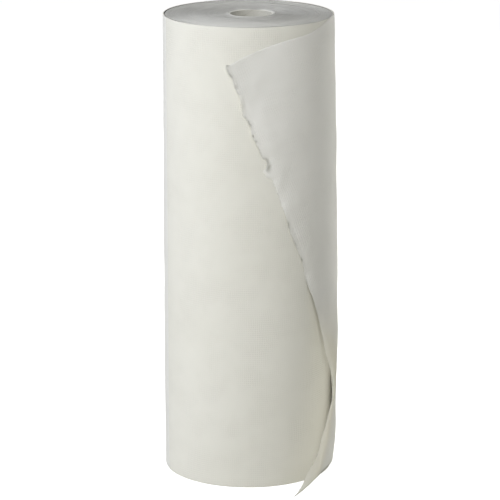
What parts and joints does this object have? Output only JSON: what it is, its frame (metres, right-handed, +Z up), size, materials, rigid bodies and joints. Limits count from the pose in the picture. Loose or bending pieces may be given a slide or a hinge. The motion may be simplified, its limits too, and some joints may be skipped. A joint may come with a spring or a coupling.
{
  "type": "exam_table_paper_roll",
  "caption": "Tall roll of embossed white tissue on a board tube, standing on end, with a slack outer turn and a torn tail that sags to the floor; rolls out as a cover sheet.",
  "frame": {"origin": "bottom centre of the board tube's bore, at the floor", "axes": "+Z up along the tube's axis; -Y towards the front that the picture shows; +X right, where the loose web comes round"},
  "size_m": [0.1893, 0.2152, 0.5],
  "materials": {
    "tissue": "matte embossed tissue",
    "board": "matte grey board, spirally wound"
  },
  "bodies": {
    "root": {"paper_roll": "tissue", "core_tube": "board"}
  },
  "joints": []
}
